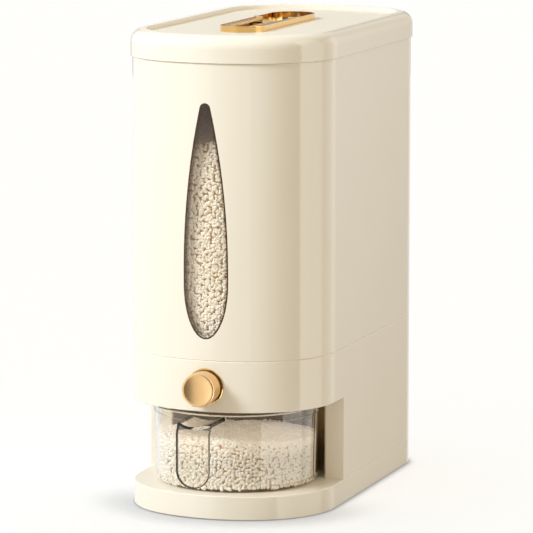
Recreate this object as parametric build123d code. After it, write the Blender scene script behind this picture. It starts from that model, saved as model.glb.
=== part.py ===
from build123d import *
import os
from math import acos, cos, sin, sqrt

# Rice dispenser with a cup drawer. Sizes are in millimetres.
# X runs across the front, +Y runs to the back and +Z is up. The origin is on the table,
# under the middle of the bounding box.

# Plan of the body: flat sides, and at each end three tangent arcs.
body_width = 160.0
body_depth = 310.0
nose_arc_offset = 12.0         # front side arcs' centres, out from the middle plane
nose_flattening = 37.0         # how much larger the nose arc's radius is than its side arcs'
tail_arc_offset = 32.0         # the same two sizes at the back
tail_flattening = 69.0
wall = 3.0

# Heights, one above the other.
foot_stand = 1.0               # the base's skirt clears the table by this
base_height = 18.7             # table to deck
bay_height = 64.3              # deck to the underside of the head
head_height = 39.2             # underside of the head to the seam
tank_height = 225.3            # seam to the lid's lower edge
lid_height = 20.5              # lid's lower edge to its rim
seam_chamfer = 0.55

# Modelling amounts: how far joined solids reach into each other, and how far a cut
# runs past the face that it opens.
overlap = 0.5
past = 1.0

# Base.
deck_thickness = 3.0
cover_thickness = 2.0
cover_gap = 0.3
foot_radius = 9.0
foot_thickness = 2.0
foot_gap = 0.1
rib_thickness = 2.0
rib_spacing = 42.0

# Column and cup bay.
column_front = 92.5            # nose to the front of the column
pocket_radius = 67.5
pocket_edge_round = 2.0
column_edge_round = 1.0
head_edge_round = 0.8
floor_thickness = 3.0          # floor of the head, over the cup

# Cup with its strap handle.
cup_setback = 71.0             # nose to the cup's axis
cup_height = 60.6
cup_foot_radius = 62.5
cup_rim_radius = 63.6
cup_wall = 2.2
cup_floor = 3.0
cup_foot_round = 6.0
cup_rim_round = 0.8
cup_rim_break = 0.5            # chamfer inside the rim
collar_band_height = 6.0
collar_band_step = 0.7
collar_band_slope = 0.5        # height of the step's slanted lower edge
handle_reach = 29.0            # strap's front, ahead of the nose
strap_width = 27.0
strap_thickness = 2.8
strap_bend = 10.0
strap_below_rim = 0.3
strap_dip = 3.0                # how much lower the strap's top is in the middle
strap_edge_round = 1.2
strap_drop = 50.0              # strap's lower end, below the cup's rim

# Screws, all one size. A bite is how deep a screw's tip goes into its boss.
screw_radius = 1.45
screw_head_radius = 2.9
screw_head_height = 2.0
screw_slot = 0.9
pilot_gap = 0.05
through_gap = 0.3
boss_radius = 4.2
well_gap = 0.6
well_wall = 2.0
well_height = 6.0              # least height of a well that stands free
pilot_spare = 2.0              # pilot hole past the screw's tip
boss_spare = 4.0               # boss past the screw's tip
head_sink = 0.8                # cover screws' heads, into the cover
cover_bite = 8.0
column_bite = 10.0
tie_bite = 12.0
gate_bite = 4.0
leg_bite = 10.0
liner_bite = 8.0
collar_bite = 3.0
rod_bite = 8.0

# Places of screws, feet and hooks, from the nose, the back and the outline.
cover_screw_nose = 35.0
cover_screw_tail = 30.0
cover_screw_inset = 12.0
foot_nose = 52.0
foot_tail = 50.0
foot_inset = 22.0
column_screw_behind = 14.0     # behind the column's front
column_screw_tail = 14.0
tie_behind = 70.0              # behind the column's front
tie_tail = 14.0
gate_screw_ahead = 11.0        # ahead of the outlet's middle
gate_screw_behind = 20.0
liner_screw_nose = 40.0
liner_screw_tail = 34.0
liner_screw_inset = 16.0
hook_behind = 8.0              # behind the front end of the straight sides

# Push button on the nose.
button_rise = 19.3             # underside of the head to the button's axis
button_radius = 12.9
button_proud = 17.0
button_travel = 13.0
button_wall = 1.4
button_face = 2.2
button_dish = 0.8
button_dish_margin = 0.8
button_tail = 13.3             # its flange's back, behind the nose
button_flange_radius = 15.8
button_flange_thickness = 2.0
button_gap = 0.3
button_edge_round = 1.0
collar_thickness = 1.0
collar_proud = 0.8
collar_flange_thickness = 2.0
collar_flange_rim = 1.8
collar_ear_offset = 20.0
collar_ear_radius = 3.8
rod_radius = 3.5
rod_gap = 0.3
rod_fit = 0.05
rod_stop = 1.0                 # rod's front end, behind the button's face
socket_radius = 5.6
socket_length = 20.0           # button's front to the end of its rod socket

# Return spring.
spring_radius = 8.0
spring_wire_radius = 0.55
spring_turns = 8
spring_end_gap = 0.1

# Dispensing gate: a sliding shutter under the hopper's outlet.
outlet_width = 52.0
outlet_depth = 12.0
gate_overlap = 1.0             # shutter past the outlet's edge when shut
gate_stand = 3.0               # gate plate over the floor, room for the screw heads
gate_plate = 2.5
gate_front = 18.0              # outlet's middle to the plate's front
gate_rail_width = 5.7
gate_stop = 2.0
gate_stop_gap = 3.0            # room behind the shutter when the button is pressed home
shutter_thickness = 2.4
shutter_gap = 0.3
shutter_margin = 5.0           # shutter past the outlet's sides
shutter_web = 3.0              # bar in front of the port
tab_thickness = 2.5
tab_width = 16.0
guide_thickness = 3.0
guide_width = 20.0
guide_to_tab = 3.0
guide_rise = 2.0               # guide's top over the spring
spout_wall = 1.6
spout_gap = 0.6
spout_lift = 1.0               # spout's end over the underside of the head

# Hopper: a funnel with its own slope on each side.
hopper_neck = 10.5             # flange's underside to where the slopes start
hopper_flange = 2.5
hopper_flange_edge = 4.0       # flange past the gate screws
gate_boss_wall = 2.0
neck_wall = 2.4
sheet_drop = 2.8               # the sheet's thickness, measured upright
side_slope = 0.80
front_slope = 0.42
back_slope = 0.58
hopper_gap = 0.4
leg_offset = 48.0
leg_front = 25.0
leg_back = 35.0
leg_seat = 7.0                 # leg's end over the underside of the head
leg_seat_thickness = 2.0

# Joint between the lower housing and the tank.
lip_height = 3.6
lip_thickness = 1.5
lip_gap = 0.25
hook_width = 16.0
hook_thickness = 2.2
hook_drop = 11.0
hook_nose = 1.2
hook_nose_height = 3.0
tie_seat = 14.0                # screw seat, below the seam

# Window.
window_rise = 16.5             # seam to the window's lower end
window_height = 178.7
window_half_width = 17.8
window_foot_height = 41.3      # height of the elliptic lower end
window_straight = 10.0         # height of the upright sides above it
window_tip_radius = 4.3
gasket_bead = 1.1
gasket_flange = 1.0
pane_recess = 0.3
pane_depth = 7.5
pane_flange = 2.0
window_flange_reach = 5.0
pane_gap = 0.05

# Lid.
lid_overhang = 1.3
lid_skirt = 2.4
lid_round = 10.0
lid_plate = 2.8
lid_rim_width = 12.8
lid_recess = 3.4
lid_recess_round = 0.8
neck_inset = 1.5
neck_height = 6.5
plug_gap = 1.4
plug_wall = 2.0
plug_depth = 2.0               # the plug's end, below the lid's lower edge
seal_gap = 0.35
seal_bite = 1.0
seal_height = 4.0
seal_rise = 2.0
liner_thickness = 2.0
liner_gap = 0.3
liner_rise = 0.5               # liner's underside over the plug's end

# Folding lid handle in its tray.
tray_width = 36.0
tray_length = 151.0
tray_setback = 69.0            # nose to the tray's front end
tray_height = 4.6
tray_rim = 1.6
tray_floor = 1.0
tray_stud_radius = 3.0
tray_stud_gap = 0.2
tray_skin = 0.4                # left over the studs' pilot holes
tray_tip_gap = 0.2
washer_thickness = 0.8
washer_reach = 1.5             # washer past the stud
bail_pivot_setback = 93.0      # tray's front end to the pivot
bail_pivot_rise = 3.1          # pivot over the tray's underside
bail_width = 5.0
bail_thickness = 2.1
bail_gap = 0.7
knuckle_radius = 1.9
knuckle_gap = 0.3
ear_stand = 0.1                # ears, in from the tray's rim
ear_margin = 0.2               # ears' radius over the knuckles'
ear_skin = 0.2
pin_radius = 0.9
pin_gap = 0.05
pin_inset = 0.5                # pin's end, in from the knuckle's
pin_skin = 0.6                 # left of the tray's side behind the pin's hole
pin_end_gap = 0.1

# Worked out from the sizes above.
half_width = body_width / 2
nose_y = (handle_reach - body_depth - lid_overhang) / 2
back_y = nose_y + body_depth


# How deep an end of the plan is, from the straight sides to its tip.
def end_depth(offset, flattening):
    return half_width - offset + flattening - sqrt(flattening**2 - offset**2)


corner_y = nose_y + end_depth(nose_arc_offset, nose_flattening)
tail_y = back_y - end_depth(tail_arc_offset, tail_flattening)

deck_z = base_height
head_z = deck_z + bay_height
seam_z = head_z + head_height
lid_z = seam_z + tank_height
rim_z = lid_z + lid_height
panel_z = rim_z - lid_recess
floor_z = head_z + floor_thickness
under_deck_z = deck_z - deck_thickness
cover_z = foot_stand + cover_thickness
button_z = head_z + button_rise
liner_z = lid_z - plug_depth + liner_rise
window_bottom = seam_z + window_rise
window_top = window_bottom + window_height
window_belly = window_bottom + window_foot_height
window_shoulder = window_belly + window_straight

column_y = nose_y + column_front
cup_y = nose_y + cup_setback
outlet_y = cup_y
pilot_radius = screw_radius + pilot_gap
through_radius = screw_radius + through_gap
well_radius = screw_head_radius + well_gap

gate_z = floor_z + gate_stand
channel_z = gate_z + gate_plate
flange_z = channel_z + shutter_thickness + 2 * shutter_gap
funnel_z = flange_z + hopper_neck
tab_back_y = outlet_y - outlet_depth * 3 / 2 - button_travel - gate_overlap
tab_y = tab_back_y - tab_thickness
guide_y = tab_y - guide_to_tab - guide_thickness
button_front_y = nose_y - button_proud
button_tail_y = nose_y + button_tail
collar_inner = button_radius + button_gap
collar_outer = collar_inner + collar_thickness
collar_back_y = button_tail_y - button_flange_thickness - button_gap
collar_seat_y = collar_back_y - collar_flange_thickness


def block(x0, x1, y0, y1, z0, z1):
    return Pos((x0 + x1) / 2, (y0 + y1) / 2, (z0 + z1) / 2) * Box(x1 - x0, y1 - y0, z1 - z0)


def centred(half, y0, y1, z0, z1):
    return block(-half, half, y0, y1, z0, z1)


def post(x, y, z0, z1, radius):
    return Pos(x, y, (z0 + z1) / 2) * Cylinder(radius, abs(z1 - z0))


def rod_along_y(x, z, y0, y1, radius):
    return Pos(x, (y0 + y1) / 2, z) * Rot(90, 0, 0) * Cylinder(radius, abs(y1 - y0))


def rod_along_x(y, z, x0, x1, radius):
    return Pos((x0 + x1) / 2, y, z) * Rot(0, 90, 0) * Cylinder(radius, abs(x1 - x0))


def both_sides(shape):
    return shape + mirror(shape, Plane.YZ)


def group(shapes):
    return Compound(children=[piece for shape in shapes for piece in shape.solids()])


# One end of the plan, drawn in by an inset: two side arcs and the flatter arc between
# them. The end points to -Y or +Y, as way says.
def plan_end(straight_y, offset, flattening, way, inset):
    side = half_width - offset - inset
    turn = acos(offset / flattening)

    def on_side(angle):
        return offset + side * cos(angle), straight_y + way * side * sin(angle)

    tip = (0, straight_y + way * (end_depth(offset, flattening) - inset))
    touch = on_side(turn)
    side_arc = ThreePointArc(on_side(0), on_side(turn / 2), touch)
    tip_arc = ThreePointArc(touch, tip, (-touch[0], touch[1]))
    return [side_arc, mirror(side_arc, Plane.YZ), tip_arc]


# The body's plan, drawn in by an inset. A negative inset grows it.
def outline(inset):
    flat = half_width - inset
    side = Line((flat, corner_y), (flat, tail_y))
    nose = plan_end(corner_y, nose_arc_offset, nose_flattening, -1, inset)
    tail = plan_end(tail_y, tail_arc_offset, tail_flattening, 1, inset)
    return make_face([side, mirror(side, Plane.YZ)] + nose + tail)


def prism(inset, z0, z1):
    return extrude(Pos(0, 0, z0) * outline(inset), z1 - z0)


def ring(outer_inset, inner_inset, z0, z1):
    return prism(outer_inset, z0, z1) - prism(inner_inset, z0 - past, z1 + past)


# Half the width of the inset plan at a given depth.
def half_width_at(y, inset):
    if corner_y <= y <= tail_y:
        return half_width - inset
    if y < corner_y:
        offset, flattening, deep = nose_arc_offset, nose_flattening, corner_y - y
    else:
        offset, flattening, deep = tail_arc_offset, tail_flattening, y - tail_y
    side = half_width - offset - inset
    if deep <= side * sqrt(1 - (offset / flattening) ** 2):
        return offset + sqrt(side**2 - deep**2)
    return sqrt((side + flattening) ** 2 - (deep + sqrt(flattening**2 - offset**2)) ** 2)


# Edges of a shape that lie on the inset plan at one height.
def edges_at(shape, z, inset):
    border = (Pos(0, 0, z) * outline(inset)).wires()[0]
    return [edge for edge in shape.edges()
            if all(border.distance_to(edge @ t) < 0.01 for t in (0, 0.5, 1))]


# Upright edges of a shape at one place, on both sides.
def upright_edges(shape, x, y):
    return shape.edges().filter_by(Axis.Z).filter_by(
        lambda edge: abs(abs(edge.center().X) - x) < 0.01 and abs(edge.center().Y - y) < 0.01)


# Pan-head screw along Z. The head sits on seat_z, on the far side from the tip.
def screw(x, y, seat_z, tip_z):
    way = 1 if tip_z > seat_z else -1
    head_z_end = seat_z - way * screw_head_height
    body = post(x, y, seat_z, tip_z, screw_radius)
    head = post(x, y, head_z_end, seat_z, screw_head_radius)
    slot_long = screw_head_radius * 1.2
    slot_deep = screw_head_height / 2
    z0, z1 = sorted((head_z_end - way, head_z_end + way * slot_deep))
    cross = block(x - slot_long / 2, x + slot_long / 2, y - screw_slot / 2, y + screw_slot / 2, z0, z1)
    cross += block(x - screw_slot / 2, x + screw_slot / 2, y - slot_long / 2, y + slot_long / 2, z0, z1)
    return body + head - cross


# The same screw along Y, its tip towards tip_y.
def screw_along_y(x, z, seat_y, tip_y):
    upright = screw(0, 0, 0, abs(tip_y - seat_y))
    turn = Rot(-90, 0, 0) if tip_y > seat_y else Rot(90, 0, 0)
    return Pos(x, seat_y, z) * turn * upright


# Places of the screws, bosses and feet, each as (x, y).
def pair(x, y):
    return [(x, y), (-x, y)]


wall_boss_inset = wall + boss_radius - overlap
middle_y = (corner_y + tail_y) / 2
cover_screw_places = (
    pair(half_width_at(nose_y + cover_screw_nose, cover_screw_inset), nose_y + cover_screw_nose)
    + pair(half_width - cover_screw_inset, middle_y)
    + pair(half_width_at(back_y - cover_screw_tail, cover_screw_inset), back_y - cover_screw_tail)
)
foot_places = (
    pair(half_width_at(nose_y + foot_nose, foot_inset), nose_y + foot_nose)
    + pair(half_width_at(back_y - foot_tail, foot_inset), back_y - foot_tail)
)
column_screw_places = (
    pair(half_width - wall_boss_inset, column_y + column_screw_behind)
    + pair(half_width_at(back_y - column_screw_tail, wall_boss_inset), back_y - column_screw_tail)
)
tie_places = (
    pair(half_width - wall_boss_inset, column_y + tie_behind)
    + pair(half_width_at(back_y - tie_tail, wall_boss_inset), back_y - tie_tail)
)
leg_places = pair(leg_offset, outlet_y - leg_front) + pair(leg_offset, outlet_y + leg_back)
gate_screw_x = outlet_width / 2 + shutter_margin + shutter_gap + gate_rail_width / 2
gate_screw_places = (
    pair(gate_screw_x, outlet_y - gate_screw_ahead) + pair(gate_screw_x, outlet_y + gate_screw_behind)
)
liner_screw_places = (
    pair(half_width_at(nose_y + liner_screw_nose, liner_screw_inset), nose_y + liner_screw_nose)
    + pair(half_width - liner_screw_inset, middle_y)
    + pair(half_width_at(back_y - liner_screw_tail, liner_screw_inset), back_y - liner_screw_tail)
)
hook_y = corner_y + hook_behind


def make_base_plate():
    plate = prism(0, foot_stand, deck_z)
    plate = chamfer(edges_at(plate, deck_z, 0), seam_chamfer)
    plate -= prism(wall, foot_stand - past, under_deck_z)
    inside = prism(wall - overlap, cover_z, under_deck_z)
    ribs = [centred(rib_thickness / 2, nose_y, back_y, cover_z, under_deck_z)]
    y = nose_y + rib_spacing
    while y < back_y - rib_spacing / 2:
        ribs.append(centred(half_width, y, y + rib_thickness, cover_z, under_deck_z))
        y += rib_spacing
    for rib in ribs:
        plate += rib & inside
    for x, y in column_screw_places:
        plate -= post(x, y, cover_z - past, under_deck_z, well_radius + past)
        plate -= post(x, y, under_deck_z - past, deck_z + past, through_radius)
    for x, y in cover_screw_places:
        plate += post(x, y, cover_z, under_deck_z + overlap, boss_radius)
        plate -= post(x, y, cover_z - past, cover_z + cover_bite + pilot_spare, pilot_radius)
    return plate


def make_bottom_cover():
    cover = prism(wall + cover_gap, foot_stand, cover_z)
    for x, y in cover_screw_places:
        cover -= post(x, y, foot_stand - past, cover_z + past, through_radius)
        cover -= post(x, y, foot_stand - past, cover_z - head_sink, well_radius)
    for x, y in foot_places:
        cover -= post(x, y, foot_stand - past, foot_thickness, foot_radius)
    return cover


def make_rubber_feet():
    return group([post(x, y, 0, foot_thickness, foot_radius - foot_gap) for x, y in foot_places])


def make_cover_screws():
    return group([screw(x, y, cover_z - head_sink, cover_z + cover_bite)
                  for x, y in cover_screw_places])


def make_column_screws():
    return group([screw(x, y, under_deck_z, deck_z + column_bite) for x, y in column_screw_places])


# The room in front of the column and the round pocket behind it, grown by a wall's thickness.
def cup_bay(grow, z0, z1):
    room = centred(half_width + past, nose_y - past, column_y + grow, z0, z1)
    return room + post(0, cup_y, z0, z1, pocket_radius + grow)


def make_lower_housing():
    shell = prism(0, deck_z, seam_z)
    shell = chamfer(edges_at(shell, seam_z, 0) + edges_at(shell, deck_z, 0), seam_chamfer)
    shell -= cup_bay(0, deck_z - past, head_z)
    pocket_x = sqrt(pocket_radius**2 - (column_y - cup_y) ** 2)
    shell = fillet(upright_edges(shell, pocket_x, column_y), pocket_edge_round)
    shell = fillet(upright_edges(shell, half_width, column_y), column_edge_round)
    shell = fillet([edge for edge in edges_at(shell, head_z, 0)
                    if edge.center().Y < column_y - past], head_edge_round)
    hollow = prism(wall, deck_z - past, seam_z + past) - cup_bay(wall, deck_z - 2 * past, floor_z)
    shell -= hollow
    inside = prism(wall - overlap, deck_z, seam_z)

    # Seat behind the nose for the button's collar.
    seat = rod_along_y(0, button_z, nose_y, collar_seat_y, collar_outer + collar_flange_rim)
    for x in (-collar_ear_offset, collar_ear_offset):
        seat += rod_along_y(x, button_z, nose_y, collar_seat_y, collar_ear_radius)
    shell += seat & inside
    shell -= rod_along_y(0, button_z, nose_y - past, collar_seat_y + past, collar_outer + pilot_gap)
    pilot_y = collar_seat_y - collar_bite - pilot_spare
    for x in (-collar_ear_offset, collar_ear_offset):
        shell -= rod_along_y(x, button_z, pilot_y, collar_seat_y + past, pilot_radius)

    # Bosses for the screws from the base, and wells for the ties up into the tank.
    for x, y in column_screw_places:
        shell += post(x, y, deck_z, deck_z + column_bite + boss_spare, boss_radius) & inside
        shell -= post(x, y, deck_z - past, deck_z + column_bite + pilot_spare, pilot_radius)
    tie_z = seam_z - tie_seat
    for x, y in tie_places:
        shell += post(x, y, tie_z - well_height, seam_z, well_radius + well_wall) & inside
        shell -= post(x, y, tie_z - well_height - past, tie_z, well_radius)
        shell -= post(x, y, tie_z - past, seam_z + past, through_radius)

    # Wells in the floor under the hopper's legs, and the spout's opening.
    leg_z = head_z + leg_seat
    for x, y in leg_places:
        shell += post(x, y, floor_z, leg_z, well_radius + well_wall)
        shell -= post(x, y, head_z - past, leg_z - leg_seat_thickness, well_radius)
        shell -= post(x, y, head_z, leg_z + past, through_radius)
    across = outlet_width / 2 + spout_wall + spout_gap
    along = outlet_depth / 2 + spout_wall + spout_gap
    shell -= centred(across, outlet_y - along, outlet_y + along, head_z - past, floor_z + past)

    # Catches for the tank's hooks.
    catch_z = seam_z - hook_drop - overlap
    catch = block(half_width - wall - past, half_width - wall + hook_nose + through_gap,
                  hook_y - hook_width / 2 - past, hook_y + hook_width / 2 + past,
                  catch_z, catch_z + hook_nose_height + 2 * overlap)
    return shell - both_sides(catch)


def make_gate_housing():
    inner = outlet_width / 2 + shutter_margin + shutter_gap
    outer = inner + gate_rail_width
    front = outlet_y - gate_front
    back = outlet_y + outlet_depth / 2 + shutter_margin + button_travel + gate_stop_gap
    plate = centred(outer, front, back, gate_z, channel_z)
    plate += centred(guide_width / 2, guide_y, front + past, gate_z, channel_z)
    plate += both_sides(block(inner, outer, front, back, channel_z, flange_z))
    plate += centred(outer, back - gate_stop, back, channel_z, flange_z)
    top = button_z + spring_radius + guide_rise
    guide = centred(guide_width / 2, guide_y, guide_y + guide_thickness, gate_z, top)
    plate += guide - rod_along_y(0, button_z, guide_y - past, guide_y + guide_thickness + past,
                                 rod_radius + rod_gap)
    half_x, half_y = outlet_width / 2, outlet_depth / 2
    plate += centred(half_x + spout_wall, outlet_y - half_y - spout_wall,
                     outlet_y + half_y + spout_wall, head_z + spout_lift, gate_z + overlap)
    plate -= centred(half_x, outlet_y - half_y, outlet_y + half_y, head_z, channel_z + past)
    for x, y in gate_screw_places:
        plate -= post(x, y, gate_z - past, flange_z + past, through_radius)
    return plate


def make_gate_screws():
    return group([screw(x, y, gate_z, flange_z + gate_bite) for x, y in gate_screw_places])


# The funnel's inside: four slopes that rise from the outlet, each at its own rate.
def funnel(z0, z1):
    rise = z1 - z0
    half_x, half_y = outlet_width / 2, outlet_depth / 2
    wide = half_x + rise / side_slope
    front = outlet_y - half_y - rise / front_slope
    back = outlet_y + half_y + rise / back_slope
    low = make_face(Polyline((-half_x, outlet_y - half_y, z0), (half_x, outlet_y - half_y, z0),
                             (half_x, outlet_y + half_y, z0), (-half_x, outlet_y + half_y, z0),
                             close=True))
    high = make_face(Polyline((-wide, front, z1), (wide, front, z1), (wide, back, z1),
                              (-wide, back, z1), close=True))
    return loft([low, high], ruled=True)


def make_hopper():
    top = funnel_z + (back_y - outlet_y) * back_slope
    inside = funnel(funnel_z, top + 2 * sheet_drop)
    sheet = Pos(0, 0, -sheet_drop) * inside
    lip_top = seam_z + lip_height + hopper_gap
    room = prism(wall + hopper_gap, lip_top, top)
    room += prism(wall + lip_gap + lip_thickness + hopper_gap, funnel_z - sheet_drop, lip_top)
    sheet &= room
    half_x, half_y = outlet_width / 2, outlet_depth / 2
    hopper = sheet + centred(half_x + neck_wall, outlet_y - half_y - neck_wall,
                             outlet_y + half_y + neck_wall, flange_z, funnel_z)
    hopper += centred(gate_screw_x + gate_rail_width / 2,
                      outlet_y - gate_screw_ahead - hopper_flange_edge,
                      outlet_y + gate_screw_behind + hopper_flange_edge,
                      flange_z, flange_z + hopper_flange)
    for x, y in gate_screw_places:
        hopper += post(x, y, flange_z, flange_z + gate_bite + boss_spare, pilot_radius + gate_boss_wall)
        hopper -= post(x, y, flange_z - past, flange_z + gate_bite + pilot_spare, pilot_radius)
    leg_z = head_z + leg_seat
    for x, y in leg_places:
        hopper += post(x, y, leg_z, funnel_z + (abs(x) - half_x) * side_slope, boss_radius)
        hopper -= post(x, y, leg_z - past, leg_z + leg_bite + pilot_spare, pilot_radius)
    hopper -= inside
    return hopper - centred(half_x, outlet_y - half_y, outlet_y + half_y,
                            flange_z - past, funnel_z + past)


def make_hopper_screws():
    leg_z = head_z + leg_seat
    return group([screw(x, y, leg_z - leg_seat_thickness, leg_z + leg_bite) for x, y in leg_places])


def make_shutter():
    half_x, half_y = outlet_width / 2, outlet_depth / 2
    wide = half_x + shutter_margin
    z0 = channel_z + shutter_gap
    z1 = z0 + shutter_thickness
    plate = centred(wide, tab_y, outlet_y + half_y + shutter_margin, z0, z1)
    port_y = outlet_y - button_travel
    plate -= both_sides(block(tab_width / 2, wide + past, tab_y - past,
                              port_y - half_y - shutter_web, z0 - past, z1 + past))
    plate -= centred(half_x, port_y - half_y, port_y + half_y, z0 - past, z1 + past)
    plate += centred(tab_width / 2, tab_y, tab_back_y, z0, button_z + rod_radius + rod_gap)
    return plate - rod_along_y(0, button_z, tab_y - past, tab_back_y + past, through_radius)


def make_push_rod():
    rod = rod_along_y(0, button_z, button_front_y + button_face + rod_stop, tab_y, rod_radius)
    return rod - rod_along_y(0, button_z, tab_y - rod_bite - pilot_spare, tab_y + past, pilot_radius)


def make_rod_screw():
    return screw_along_y(0, button_z, tab_back_y, tab_y - rod_bite)


def make_button_cap():
    face_y = button_front_y + button_face
    cap = rod_along_y(0, button_z, button_front_y, button_tail_y, button_radius)
    front = cap.edges().filter_by(GeomType.CIRCLE).sort_by(Axis.Y)[0]
    cap = fillet(front, button_edge_round)
    cap += rod_along_y(0, button_z, button_tail_y - button_flange_thickness, button_tail_y,
                       button_flange_radius)
    cap -= rod_along_y(0, button_z, face_y, button_tail_y + past, button_radius - button_wall)
    dish_half = button_radius - button_edge_round - button_dish_margin
    dish_radius = (dish_half**2 + button_dish**2) / (2 * button_dish)
    cap -= Pos(0, button_front_y + button_dish - dish_radius, button_z) * Sphere(dish_radius)
    cap += rod_along_y(0, button_z, face_y - overlap, button_front_y + socket_length, socket_radius)
    return cap - rod_along_y(0, button_z, face_y + rod_stop, button_tail_y, rod_radius + rod_fit)


def make_button_collar():
    ears = (-collar_ear_offset, collar_ear_offset)
    collar = rod_along_y(0, button_z, nose_y - collar_proud, collar_back_y, collar_outer)
    front = collar.edges().filter_by(GeomType.CIRCLE).sort_by(Axis.Y)[0]
    collar = chamfer(front, collar_thickness / 3)
    collar += rod_along_y(0, button_z, collar_seat_y, collar_back_y, collar_outer + collar_flange_rim)
    for x in ears:
        collar += rod_along_y(x, button_z, collar_seat_y, collar_back_y, collar_ear_radius)
    collar += centred(collar_ear_offset, collar_seat_y, collar_back_y,
                      button_z - collar_ear_radius, button_z + collar_ear_radius)
    for x in ears:
        collar -= rod_along_y(x, button_z, collar_seat_y - past, collar_back_y + past, through_radius)
    return collar - rod_along_y(0, button_z, nose_y - collar_proud - past, collar_back_y + past,
                                collar_inner)


def make_collar_screws():
    return group([screw_along_y(x, button_z, collar_back_y, collar_seat_y - collar_bite)
                  for x in (-collar_ear_offset, collar_ear_offset)])


# One unbroken wire, wound round the push rod from the button's face to the guide.
def make_return_spring():
    start = button_front_y + button_face + spring_wire_radius + spring_end_gap
    length = guide_y - spring_wire_radius - spring_end_gap - start
    coil = Helix(length / spring_turns, length, spring_radius)
    section = Plane(origin=coil @ 0, z_dir=coil % 0) * Circle(spring_wire_radius)
    wire = sweep(section, path=coil, is_frenet=True)
    return Pos(0, start, button_z) * Rot(-90, 0, 0) * wire


# Teardrop of the window, seen from the front and grown by an offset.
def teardrop(grow):
    wide = window_half_width + grow
    tip = window_tip_radius + grow
    tip_z = window_top - window_tip_radius
    rise = tip_z - window_shoulder
    side = (rise**2 + window_half_width**2 - window_tip_radius**2)
    side = side / (2 * (window_half_width - window_tip_radius))
    side_x = window_half_width - side
    lean = acos((side - window_half_width) / (side - window_tip_radius))
    long_side = side + grow
    tip_start = (tip * cos(lean), tip_z + tip * sin(lean))
    middle = (side_x + long_side * cos(lean / 2), window_shoulder + long_side * sin(lean / 2))
    right = ThreePointArc((wide, window_shoulder), middle, tip_start)
    parts = [
        EllipticalCenterArc((0, window_belly), wide, window_foot_height + grow,
                            start_angle=180, arc_size=180),
        Line((wide, window_belly), (wide, window_shoulder)),
        Line((-wide, window_belly), (-wide, window_shoulder)),
        right,
        mirror(right, Plane.YZ),
        ThreePointArc(tip_start, (0, tip_z + tip), (-tip_start[0], tip_start[1])),
    ]
    return make_face(parts)


# The teardrop as a prism through the nose's wall and on into the tank.
def drop_prism(grow, deep=0):
    back = (nose_y + corner_y) / 2 + deep
    upright = Plane(origin=(0, back, 0), x_dir=(1, 0, 0), z_dir=(0, -1, 0))
    return extrude(upright * teardrop(grow), back - nose_y + past + deep)


# A slice of the teardrop prism between two insets of the body's plan.
def drop_slice(grow, outer_inset, inner_inset):
    low = window_bottom - window_flange_reach - past
    high = window_top + window_flange_reach + past
    return drop_prism(grow) & ring(outer_inset, inner_inset, low, high)


def make_rice_tank():
    tank = prism(0, seam_z, lid_z)
    tank = chamfer(edges_at(tank, seam_z, 0) + edges_at(tank, lid_z, 0), seam_chamfer)
    tank += prism(neck_inset, lid_z - past, lid_z + neck_height)
    tank -= prism(wall, seam_z - past, lid_z + neck_height + past)
    lip_inner = wall + lip_gap + lip_thickness
    tank += ring(wall + lip_gap, lip_inner, seam_z - lip_height, seam_z + lip_height)
    tank += ring(wall - overlap, lip_inner, seam_z, seam_z + lip_height)
    inside = prism(wall - overlap, seam_z, lid_z)
    for x, y in tie_places:
        gap = well_radius + well_wall + through_gap
        tank -= post(x, y, seam_z - lip_height - past, seam_z, gap)
        tank += post(x, y, seam_z, seam_z + tie_bite + boss_spare, boss_radius) & inside
        tank -= post(x, y, seam_z - past, seam_z + tie_bite + pilot_spare, pilot_radius)
    hook_x = half_width - wall - lip_gap
    front, back = hook_y - hook_width / 2, hook_y + hook_width / 2
    hook = block(hook_x - hook_thickness, hook_x, front, back, seam_z - hook_drop, seam_z + lip_height)
    hook += block(hook_x - overlap, hook_x + hook_nose, front, back,
                  seam_z - hook_drop, seam_z - hook_drop + hook_nose_height)
    tank += both_sides(hook)
    return tank - drop_prism(0)


def make_tie_screws():
    return group([screw(x, y, seam_z - tie_seat, seam_z + tie_bite) for x, y in tie_places])


def make_window_gasket():
    gasket = drop_slice(-pane_gap, pane_recess / 2, wall)
    gasket += drop_slice(window_flange_reach, wall, wall + gasket_flange)
    return gasket - drop_prism(-gasket_bead, past)


def make_window_pane():
    inner = wall + gasket_flange
    pane = drop_slice(-gasket_bead - pane_gap, pane_recess, pane_depth)
    return pane + drop_slice(window_flange_reach, inner, inner + pane_flange)


tray_centre_y = nose_y + tray_setback + tray_length / 2
tray_half = tray_width / 2
stud_places = pair(tray_half / 2, tray_centre_y + tray_length / 4) + pair(
    tray_half / 2, tray_centre_y - tray_length / 4)


def tray_prism(inset, z0, z1):
    slot = SlotOverall(tray_length - 2 * inset, tray_width - 2 * inset, rotation=90)
    return extrude(Pos(0, tray_centre_y, z0) * slot, z1 - z0)


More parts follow.
